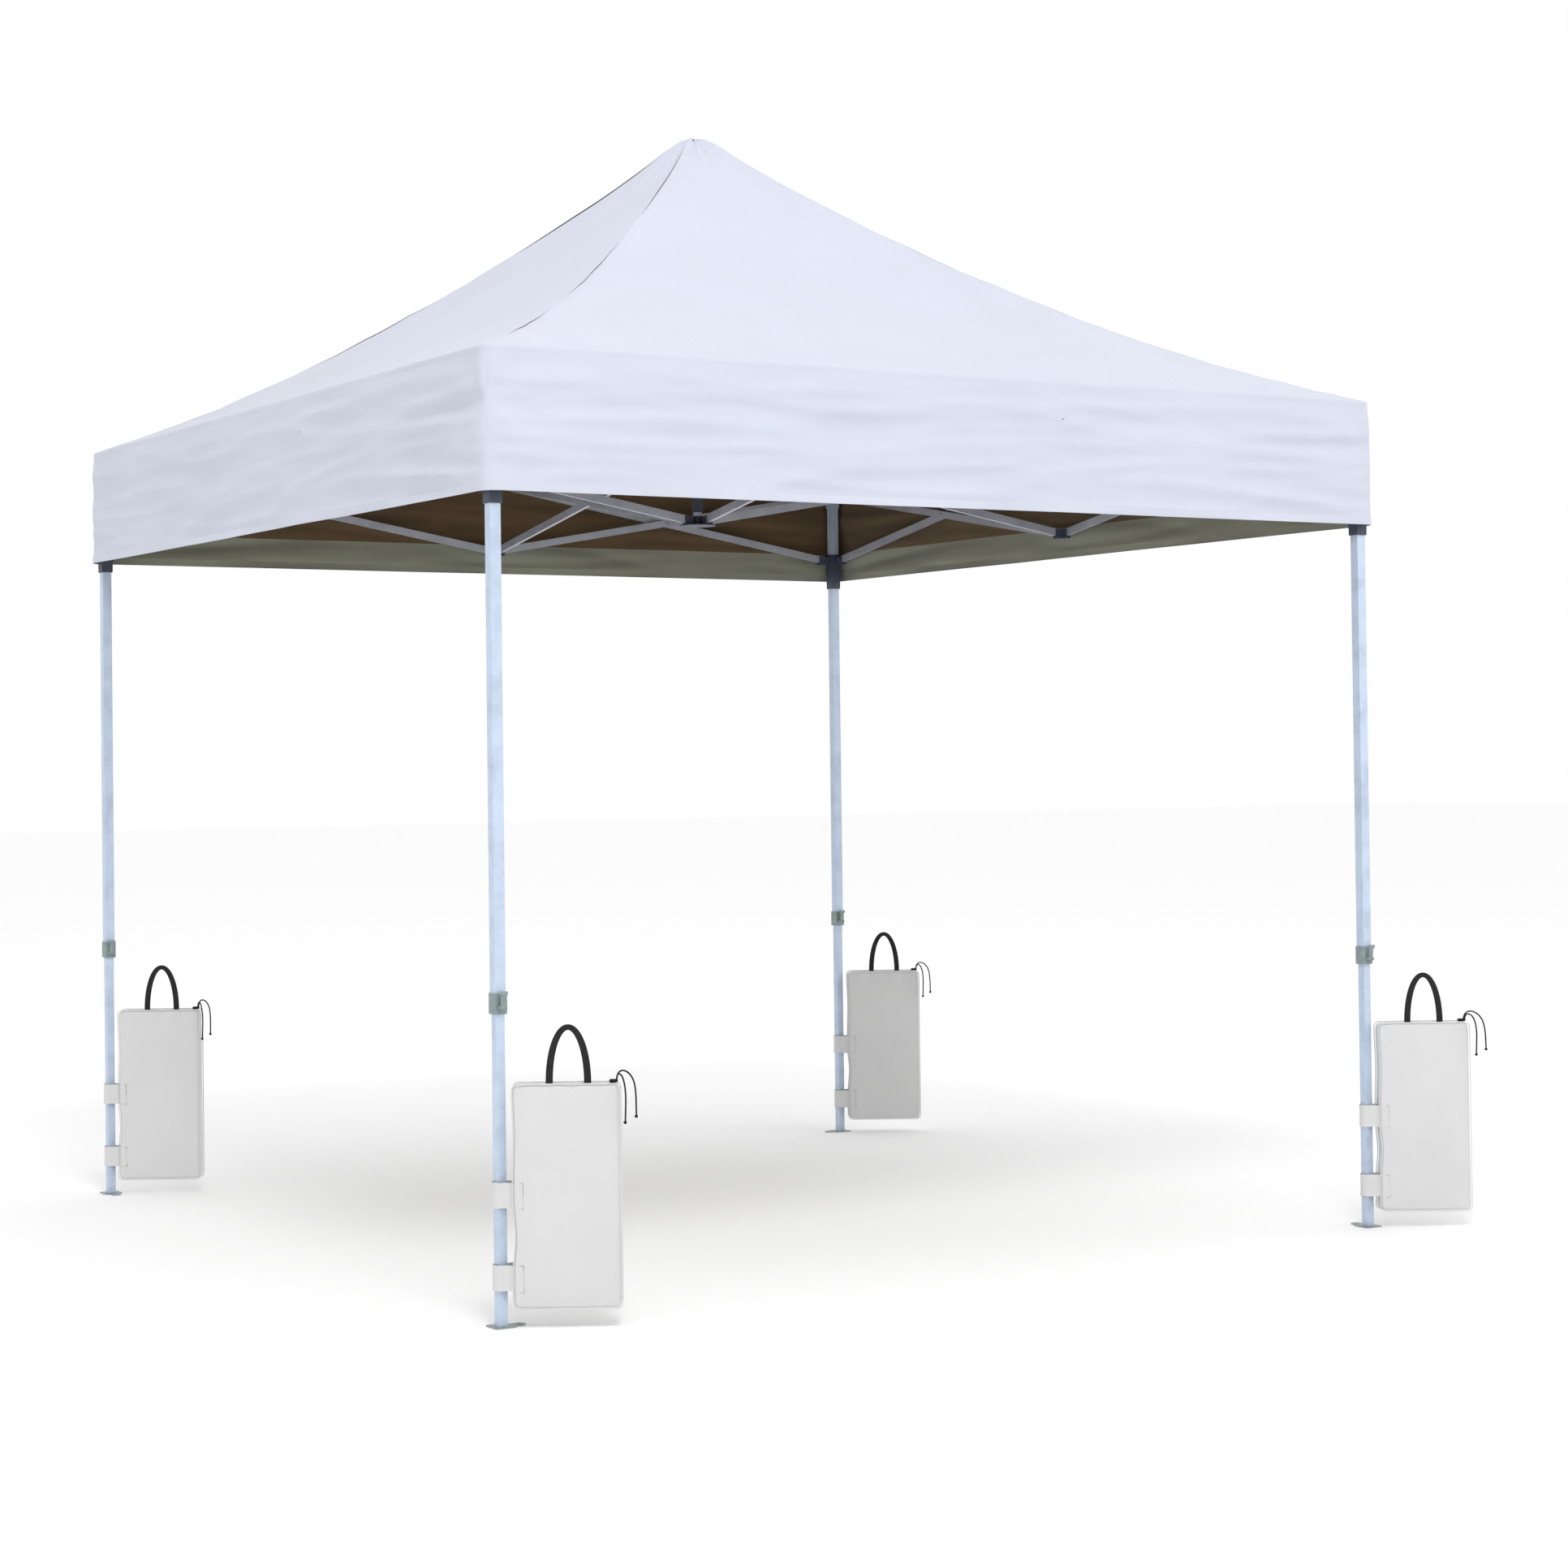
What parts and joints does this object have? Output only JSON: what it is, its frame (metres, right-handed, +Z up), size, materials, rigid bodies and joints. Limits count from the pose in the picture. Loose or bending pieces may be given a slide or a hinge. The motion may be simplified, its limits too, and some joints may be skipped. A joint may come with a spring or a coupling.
{
  "type": "pop up canopy",
  "caption": "Folding pop up canopy: hip-roofed fabric cover with valances on a scissor truss frame, with telescopic legs and strapped weight bags.",
  "frame": {"origin": "on the ground at the middle of the frame", "axes": "+Z up, X and Y along the sides of the square frame"},
  "size_m": [3.2228, 3.175, 3.4],
  "materials": {
    "canopy_fabric": "coated woven polyester, soft sheen",
    "bag_fabric": "coated woven polyester, matte",
    "cord_black": "braided cord",
    "leg_steel": "light grey powder coat",
    "truss_aluminium": "satin tube",
    "grey_nylon": "moulded, fine grain",
    "dark_plastic": "moulded, fine grain"
  },
  "bodies": {
    "hub": {"upper_hub": "grey_nylon", "canopy_cover": "canopy_fabric"},
    "lower_hub": {"lower_hub": "grey_nylon", "peak_pole": "leg_steel"},
    "hub_bar_down_south": {"hub_bar_down_south": "truss_aluminium"},
    "lower_bracket_south": {"lower_bracket_south": "grey_nylon"},
    "hub_bar_up_south": {"hub_bar_up_south": "truss_aluminium"},
    "upper_bracket_south": {"upper_bracket_south": "grey_nylon"},
    "bar_up_south_left": {"bar_up_south_left": "truss_aluminium"},
    "bar_down_south_left": {"bar_down_south_left": "truss_aluminium"},
    "bar_up_south_right": {"bar_up_south_right": "truss_aluminium"},
    "bar_down_south_right": {"bar_down_south_right": "truss_aluminium"},
    "hub_bar_down_east": {"hub_bar_down_east": "truss_aluminium"},
    "lower_bracket_east": {"lower_bracket_east": "grey_nylon"},
    "hub_bar_up_east": {"hub_bar_up_east": "truss_aluminium"},
    "upper_bracket_east": {"upper_bracket_east": "grey_nylon"},
    "bar_up_east_left": {"bar_up_east_left": "truss_aluminium"},
    "bar_down_east_left": {"bar_down_east_left": "truss_aluminium"},
    "bar_up_east_right": {"bar_up_east_right": "truss_aluminium"},
    "bar_down_east_right": {"bar_down_east_right": "truss_aluminium"},
    "hub_bar_down_north": {"hub_bar_down_north": "truss_aluminium"},
    "lower_bracket_north": {"lower_bracket_north": "grey_nylon"},
    "hub_bar_up_north": {"hub_bar_up_north": "truss_aluminium"},
    "upper_bracket_north": {"upper_bracket_north": "grey_nylon"},
    "bar_up_north_left": {"bar_up_north_left": "truss_aluminium"},
    "bar_down_north_left": {"bar_down_north_left": "truss_aluminium"},
    "bar_up_north_right": {"bar_up_north_right": "truss_aluminium"},
    "bar_down_north_right": {"bar_down_north_right": "truss_aluminium"},
    "hub_bar_down_west": {"hub_bar_down_west": "truss_aluminium"},
    "lower_bracket_west": {"lower_bracket_west": "grey_nylon"},
    "hub_bar_up_west": {"hub_bar_up_west": "truss_aluminium"},
    "upper_bracket_west": {"upper_bracket_west": "grey_nylon"},
    "bar_up_west_left": {"bar_up_west_left": "truss_aluminium"},
    "bar_down_west_left": {"bar_down_west_left": "truss_aluminium"},
    "bar_up_west_right": {"bar_up_west_right": "truss_aluminium"},
    "bar_down_west_right": {"bar_down_west_right": "truss_aluminium"},
    "leg_se": {"outer_leg_se": "leg_steel"},
    "slider_se": {"slider_se": "grey_nylon"},
    "foot_se": {"inner_leg_se": "leg_steel", "weight_bag_se": "bag_fabric", "bag_ties_se": "cord_black"},
    "lever_se": {"lock_lever_se": "dark_plastic"},
    "leg_ne": {"outer_leg_ne": "leg_steel"},
    "slider_ne": {"slider_ne": "grey_nylon"},
    "foot_ne": {"inner_leg_ne": "leg_steel", "weight_bag_ne": "bag_fabric", "bag_ties_ne": "cord_black"},
    "lever_ne": {"lock_lever_ne": "dark_plastic"},
    "leg_nw": {"outer_leg_nw": "leg_steel"},
    "slider_nw": {"slider_nw": "grey_nylon"},
    "foot_nw": {"inner_leg_nw": "leg_steel", "weight_bag_nw": "bag_fabric", "bag_ties_nw": "cord_black"},
    "lever_nw": {"lock_lever_nw": "dark_plastic"},
    "leg_sw": {"outer_leg_sw": "leg_steel"},
    "slider_sw": {"slider_sw": "grey_nylon"},
    "foot_sw": {"inner_leg_sw": "leg_steel", "weight_bag_sw": "bag_fabric", "bag_ties_sw": "cord_black"},
    "lever_sw": {"lock_lever_sw": "dark_plastic"}
  },
  "joints": [
    {"name": "frame_fold", "type": "hinge", "parent": "hub", "child": "hub_bar_down_south", "pos_m": [0, -0.04, 2.43], "axis": [1, 0, 0], "range_deg": [0, 75], "deforming": ["canopy_cover"]},
    {"name": "pivot_lower_bracket_south", "type": "hinge", "parent": "hub_bar_down_south", "child": "lower_bracket_south", "pos_m": [0, -1.425, 2.19], "axis": [1, 0, 0], "range_deg": [-75.01, 0.01]},
    {"name": "cross_hub_bar_up_south", "type": "hinge", "parent": "hub_bar_down_south", "child": "hub_bar_up_south", "pos_m": [0, -0.7325, 2.31], "axis": [1, 0, 0], "range_deg": [-150.01, 0.01]},
    {"name": "pivot_upper_bracket_south", "type": "hinge", "parent": "hub_bar_up_south", "child": "upper_bracket_south", "pos_m": [0, -1.425, 2.43], "axis": [1, 0, 0], "range_deg": [-0.01, 75.01]},
    {"name": "pivot_lower_hub", "type": "hinge", "parent": "hub_bar_up_south", "child": "lower_hub", "pos_m": [0, -0.04, 2.19], "axis": [1, 0, 0], "range_deg": [-0.01, 75.01]},
    {"name": "pivot_bar_up_south_left", "type": "hinge", "parent": "lower_bracket_south", "child": "bar_up_south_left", "pos_m": [-0.022, -1.455, 2.19], "axis": [0, 1, 0], "range_deg": [-0.01, 75.01]},
    {"name": "cross_bar_down_south_left", "type": "hinge", "parent": "bar_up_south_left", "child": "bar_down_south_left", "pos_m": [-0.7145, -1.455, 2.31], "axis": [0, 1, 0], "range_deg": [-150.01, 0.01]},
    {"name": "pivot_leg_sw", "type": "hinge", "parent": "bar_up_south_left", "child": "leg_sw", "pos_m": [-1.407, -1.455, 2.43], "axis": [0, 1, 0], "range_deg": [-75.01, 0.01]},
    {"name": "pivot_slider_sw", "type": "hinge", "parent": "bar_down_south_left", "child": "slider_sw", "pos_m": [-1.407, -1.455, 2.19], "axis": [0, 1, 0], "range_deg": [-0.01, 75.01]},
    {"name": "pivot_bar_up_south_right", "type": "hinge", "parent": "lower_bracket_south", "child": "bar_up_south_right", "pos_m": [0.022, -1.455, 2.19], "axis": [0, -1, 0], "range_deg": [-0.01, 75.01]},
    {"name": "cross_bar_down_south_right", "type": "hinge", "parent": "bar_up_south_right", "child": "bar_down_south_right", "pos_m": [0.7145, -1.455, 2.31], "axis": [0, -1, 0], "range_deg": [-150.01, 0.01]},
    {"name": "pivot_leg_se", "type": "hinge", "parent": "bar_up_south_right", "child": "leg_se", "pos_m": [1.407, -1.455, 2.43], "axis": [0, -1, 0], "range_deg": [-75.01, 0.01]},
    {"name": "pivot_slider_se", "type": "hinge", "parent": "bar_down_south_right", "child": "slider_se", "pos_m": [1.407, -1.455, 2.19], "axis": [0, -1, 0], "range_deg": [-0.01, 75.01]},
    {"name": "fold_east", "type": "hinge", "parent": "hub", "child": "hub_bar_down_east", "pos_m": [0.04, 0, 2.43], "axis": [0, 1, 0], "range_deg": [-0.01, 75.01]},
    {"name": "pivot_lower_bracket_east", "type": "hinge", "parent": "hub_bar_down_east", "child": "lower_bracket_east", "pos_m": [1.425, 0, 2.19], "axis": [0, 1, 0], "range_deg": [-75.01, 0.01]},
    {"name": "cross_hub_bar_up_east", "type": "hinge", "parent": "hub_bar_down_east", "child": "hub_bar_up_east", "pos_m": [0.7325, 0, 2.31], "axis": [0, 1, 0], "range_deg": [-150.01, 0.01]},
    {"name": "pivot_upper_bracket_east", "type": "hinge", "parent": "hub_bar_up_east", "child": "upper_bracket_east", "pos_m": [1.425, 0, 2.43], "axis": [0, 1, 0], "range_deg": [-0.01, 75.01]},
    {"name": "pivot_bar_up_east_left", "type": "hinge", "parent": "lower_bracket_east", "child": "bar_up_east_left", "pos_m": [1.455, -0.022, 2.19], "axis": [-1, 0, 0], "range_deg": [-0.01, 75.01]},
    {"name": "cross_bar_down_east_left", "type": "hinge", "parent": "bar_up_east_left", "child": "bar_down_east_left", "pos_m": [1.455, -0.7145, 2.31], "axis": [-1, 0, 0], "range_deg": [-150.01, 0.01]},
    {"name": "pivot_bar_up_east_right", "type": "hinge", "parent": "lower_bracket_east", "child": "bar_up_east_right", "pos_m": [1.455, 0.022, 2.19], "axis": [1, 0, 0], "range_deg": [-0.01, 75.01]},
    {"name": "cross_bar_down_east_right", "type": "hinge", "parent": "bar_up_east_right", "child": "bar_down_east_right", "pos_m": [1.455, 0.7145, 2.31], "axis": [1, 0, 0], "range_deg": [-150.01, 0.01]},
    {"name": "fold_north", "type": "hinge", "parent": "hub", "child": "hub_bar_down_north", "pos_m": [0, 0.04, 2.43], "axis": [-1, 0, 0], "range_deg": [-0.01, 75.01]},
    {"name": "pivot_lower_bracket_north", "type": "hinge", "parent": "hub_bar_down_north", "child": "lower_bracket_north", "pos_m": [0, 1.425, 2.19], "axis": [-1, 0, 0], "range_deg": [-75.01, 0.01]},
    {"name": "cross_hub_bar_up_north", "type": "hinge", "parent": "hub_bar_down_north", "child": "hub_bar_up_north", "pos_m": [0, 0.7325, 2.31], "axis": [-1, 0, 0], "range_deg": [-150.01, 0.01]},
    {"name": "pivot_upper_bracket_north", "type": "hinge", "parent": "hub_bar_up_north", "child": "upper_bracket_north", "pos_m": [0, 1.425, 2.43], "axis": [-1, 0, 0], "range_deg": [-0.01, 75.01]},
    {"name": "pivot_bar_up_north_left", "type": "hinge", "parent": "lower_bracket_north", "child": "bar_up_north_left", "pos_m": [0.022, 1.455, 2.19], "axis": [0, -1, 0], "range_deg": [-0.01, 75.01]},
    {"name": "cross_bar_down_north_left", "type": "hinge", "parent": "bar_up_north_left", "child": "bar_down_north_left", "pos_m": [0.7145, 1.455, 2.31], "axis": [0, -1, 0], "range_deg": [-150.01, 0.01]},
    {"name": "pivot_leg_ne", "type": "hinge", "parent": "bar_up_north_left", "child": "leg_ne", "pos_m": [1.407, 1.455, 2.43], "axis": [0, -1, 0], "range_deg": [-75.01, 0.01]},
    {"name": "pivot_slider_ne", "type": "hinge", "parent": "bar_down_north_left", "child": "slider_ne", "pos_m": [1.407, 1.455, 2.19], "axis": [0, -1, 0], "range_deg": [-0.01, 75.01]},
    {"name": "pivot_bar_up_north_right", "type": "hinge", "parent": "lower_bracket_north", "child": "bar_up_north_right", "pos_m": [-0.022, 1.455, 2.19], "axis": [0, 1, 0], "range_deg": [-0.01, 75.01]},
    {"name": "cross_bar_down_north_right", "type": "hinge", "parent": "bar_up_north_right", "child": "bar_down_north_right", "pos_m": [-0.7145, 1.455, 2.31], "axis": [0, 1, 0], "range_deg": [-150.01, 0.01]},
    {"name": "pivot_leg_nw", "type": "hinge", "parent": "bar_up_north_right", "child": "leg_nw", "pos_m": [-1.407, 1.455, 2.43], "axis": [0, 1, 0], "range_deg": [-75.01, 0.01]},
    {"name": "pivot_slider_nw", "type": "hinge", "parent": "bar_down_north_right", "child": "slider_nw", "pos_m": [-1.407, 1.455, 2.19], "axis": [0, 1, 0], "range_deg": [-0.01, 75.01]},
    {"name": "fold_west", "type": "hinge", "parent": "hub", "child": "hub_bar_down_west", "pos_m": [-0.04, 0, 2.43], "axis": [0, -1, 0], "range_deg": [-0.01, 75.01]},
    {"name": "pivot_lower_bracket_west", "type": "hinge", "parent": "hub_bar_down_west", "child": "lower_bracket_west", "pos_m": [-1.425, 0, 2.19], "axis": [0, -1, 0], "range_deg": [-75.01, 0.01]},
    {"name": "cross_hub_bar_up_west", "type": "hinge", "parent": "hub_bar_down_west", "child": "hub_bar_up_west", "pos_m": [-0.7325, 0, 2.31], "axis": [0, -1, 0], "range_deg": [-150.01, 0.01]},
    {"name": "pivot_upper_bracket_west", "type": "hinge", "parent": "hub_bar_up_west", "child": "upper_bracket_west", "pos_m": [-1.425, 0, 2.43], "axis": [0, -1, 0], "range_deg": [-0.01, 75.01]},
    {"name": "pivot_bar_up_west_left", "type": "hinge", "parent": "lower_bracket_west", "child": "bar_up_west_left", "pos_m": [-1.455, 0.022, 2.19], "axis": [1, 0, 0], "range_deg": [-0.01, 75.01]},
    {"name": "cross_bar_down_west_left", "type": "hinge", "parent": "bar_up_west_left", "child": "bar_down_west_left", "pos_m": [-1.455, 0.7145, 2.31], "axis": [1, 0, 0], "range_deg": [-150.01, 0.01]},
    {"name": "pivot_bar_up_west_right", "type": "hinge", "parent": "lower_bracket_west", "child": "bar_up_west_right", "pos_m": [-1.455, -0.022, 2.19], "axis": [-1, 0, 0], "range_deg": [-0.01, 75.01]},
    {"name": "cross_bar_down_west_right", "type": "hinge", "parent": "bar_up_west_right", "child": "bar_down_west_right", "pos_m": [-1.455, -0.7145, 2.31], "axis": [-1, 0, 0], "range_deg": [-150.01, 0.01]},
    {"name": "leg_height_se", "type": "slide", "parent": "leg_se", "child": "foot_se", "axis": [0, 0, 1], "range_m": [0, 0.2]},
    {"name": "lock_se", "type": "hinge", "parent": "leg_se", "child": "lever_se", "pos_m": [1.455, -1.4825, 0.805], "axis": [1, 0, 0], "range_deg": [0, 30], "stiffness_Nm_per_rad": 0.4, "springref_deg": -5.73},
    {"name": "leg_height_ne", "type": "slide", "parent": "leg_ne", "child": "foot_ne", "axis": [0, 0, 1], "range_m": [0, 0.2]},
    {"name": "lock_ne", "type": "hinge", "parent": "leg_ne", "child": "lever_ne", "pos_m": [1.455, 1.4275, 0.805], "axis": [1, 0, 0], "range_deg": [0, 30], "stiffness_Nm_per_rad": 0.4, "springref_deg": -5.73},
    {"name": "leg_height_nw", "type": "slide", "parent": "leg_nw", "child": "foot_nw", "axis": [0, 0, 1], "range_m": [0, 0.2]},
    {"name": "lock_nw", "type": "hinge", "parent": "leg_nw", "child": "lever_nw", "pos_m": [-1.455, 1.4275, 0.805], "axis": [1, 0, 0], "range_deg": [0, 30], "stiffness_Nm_per_rad": 0.4, "springref_deg": -5.73},
    {"name": "leg_height_sw", "type": "slide", "parent": "leg_sw", "child": "foot_sw", "axis": [0, 0, 1], "range_m": [0, 0.2]},
    {"name": "lock_sw", "type": "hinge", "parent": "leg_sw", "child": "lever_sw", "pos_m": [-1.455, -1.4825, 0.805], "axis": [1, 0, 0], "range_deg": [0, 30], "stiffness_Nm_per_rad": 0.4, "springref_deg": -5.73}
  ],
  "couplings": [
    {"joint": "pivot_lower_bracket_south", "follows": "frame_fold", "ratio": -1},
    {"joint": "cross_hub_bar_up_south", "follows": "frame_fold", "ratio": -2},
    {"joint": "pivot_upper_bracket_south", "follows": "frame_fold", "ratio": 1},
    {"joint": "pivot_lower_hub", "follows": "frame_fold", "ratio": 1},
    {"joint": "pivot_bar_up_south_left", "follows": "frame_fold", "ratio": 1},
    {"joint": "cross_bar_down_south_left", "follows": "frame_fold", "ratio": -2},
    {"joint": "pivot_leg_sw", "follows": "frame_fold", "ratio": -1},
    {"joint": "pivot_slider_sw", "follows": "frame_fold", "ratio": 1},
    {"joint": "pivot_bar_up_south_right", "follows": "frame_fold", "ratio": 1},
    {"joint": "cross_bar_down_south_right", "follows": "frame_fold", "ratio": -2},
    {"joint": "pivot_leg_se", "follows": "frame_fold", "ratio": -1},
    {"joint": "pivot_slider_se", "follows": "frame_fold", "ratio": 1},
    {"joint": "fold_east", "follows": "frame_fold", "ratio": 1},
    {"joint": "pivot_lower_bracket_east", "follows": "frame_fold", "ratio": -1},
    {"joint": "cross_hub_bar_up_east", "follows": "frame_fold", "ratio": -2},
    {"joint": "pivot_upper_bracket_east", "follows": "frame_fold", "ratio": 1},
    {"joint": "pivot_bar_up_east_left", "follows": "frame_fold", "ratio": 1},
    {"joint": "cross_bar_down_east_left", "follows": "frame_fold", "ratio": -2},
    {"joint": "pivot_bar_up_east_right", "follows": "frame_fold", "ratio": 1},
    {"joint": "cross_bar_down_east_right", "follows": "frame_fold", "ratio": -2},
    {"joint": "fold_north", "follows": "frame_fold", "ratio": 1},
    {"joint": "pivot_lower_bracket_north", "follows": "frame_fold", "ratio": -1},
    {"joint": "cross_hub_bar_up_north", "follows": "frame_fold", "ratio": -2},
    {"joint": "pivot_upper_bracket_north", "follows": "frame_fold", "ratio": 1},
    {"joint": "pivot_bar_up_north_left", "follows": "frame_fold", "ratio": 1},
    {"joint": "cross_bar_down_north_left", "follows": "frame_fold", "ratio": -2},
    {"joint": "pivot_leg_ne", "follows": "frame_fold", "ratio": -1},
    {"joint": "pivot_slider_ne", "follows": "frame_fold", "ratio": 1},
    {"joint": "pivot_bar_up_north_right", "follows": "frame_fold", "ratio": 1},
    {"joint": "cross_bar_down_north_right", "follows": "frame_fold", "ratio": -2},
    {"joint": "pivot_leg_nw", "follows": "frame_fold", "ratio": -1},
    {"joint": "pivot_slider_nw", "follows": "frame_fold", "ratio": 1},
    {"joint": "fold_west", "follows": "frame_fold", "ratio": 1},
    {"joint": "pivot_lower_bracket_west", "follows": "frame_fold", "ratio": -1},
    {"joint": "cross_hub_bar_up_west", "follows": "frame_fold", "ratio": -2},
    {"joint": "pivot_upper_bracket_west", "follows": "frame_fold", "ratio": 1},
    {"joint": "pivot_bar_up_west_left", "follows": "frame_fold", "ratio": 1},
    {"joint": "cross_bar_down_west_left", "follows": "frame_fold", "ratio": -2},
    {"joint": "pivot_bar_up_west_right", "follows": "frame_fold", "ratio": 1},
    {"joint": "cross_bar_down_west_right", "follows": "frame_fold", "ratio": -2}
  ]
}
